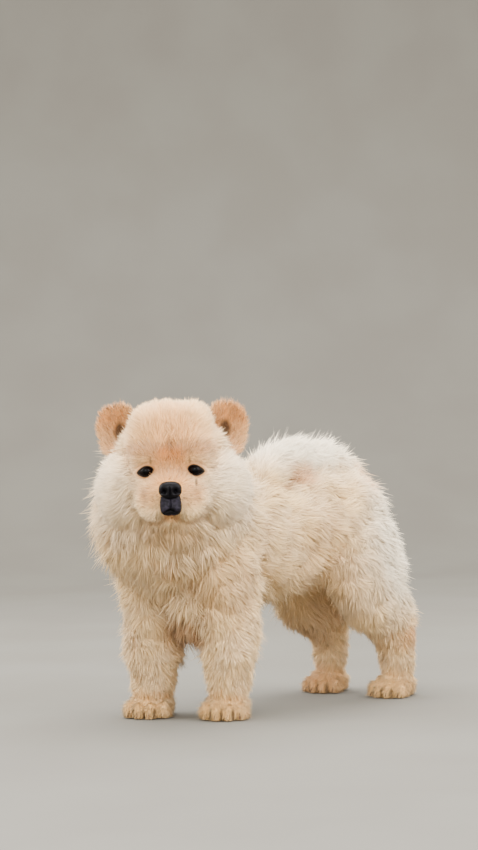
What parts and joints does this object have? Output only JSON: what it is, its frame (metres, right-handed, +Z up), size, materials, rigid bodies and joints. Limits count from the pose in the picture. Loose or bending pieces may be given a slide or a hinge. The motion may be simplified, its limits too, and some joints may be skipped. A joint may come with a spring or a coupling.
{
  "type": "chow chow puppy",
  "caption": "Life-size chow chow puppy standing square, with a deep ruff, plush cream coat, small round ears and a bushy tail curled over its back.",
  "frame": {"origin": "on the floor, under the middle of the animal's bounding box", "axes": "+Z up, -Y the way the body faces, +X the animal's left side"},
  "size_m": [0.2152, 0.4206, 0.3589],
  "materials": {
    "coat": "soft cream plush coat",
    "ear_coat": "short peach-orange coat",
    "paw_coat": "short warm cream coat with dark claws",
    "eye": "wet, near-black",
    "nose_leather": "black, moist",
    "lip_skin": "blue-black skin"
  },
  "bodies": {
    "root": {"head": "coat", "ear_left": "ear_coat", "ear_right": "ear_coat", "eye_left": "eye", "eye_right": "eye", "nose": "nose_leather", "lips": "lip_skin", "neck": "coat", "torso": "coat", "tail": "coat", "foreleg_left": "coat", "foreleg_right": "coat", "hindleg_left": "coat", "hindleg_right": "coat", "forepaw_left": "paw_coat", "forepaw_right": "paw_coat", "hindpaw_left": "paw_coat", "hindpaw_right": "paw_coat"}
  },
  "joints": []
}
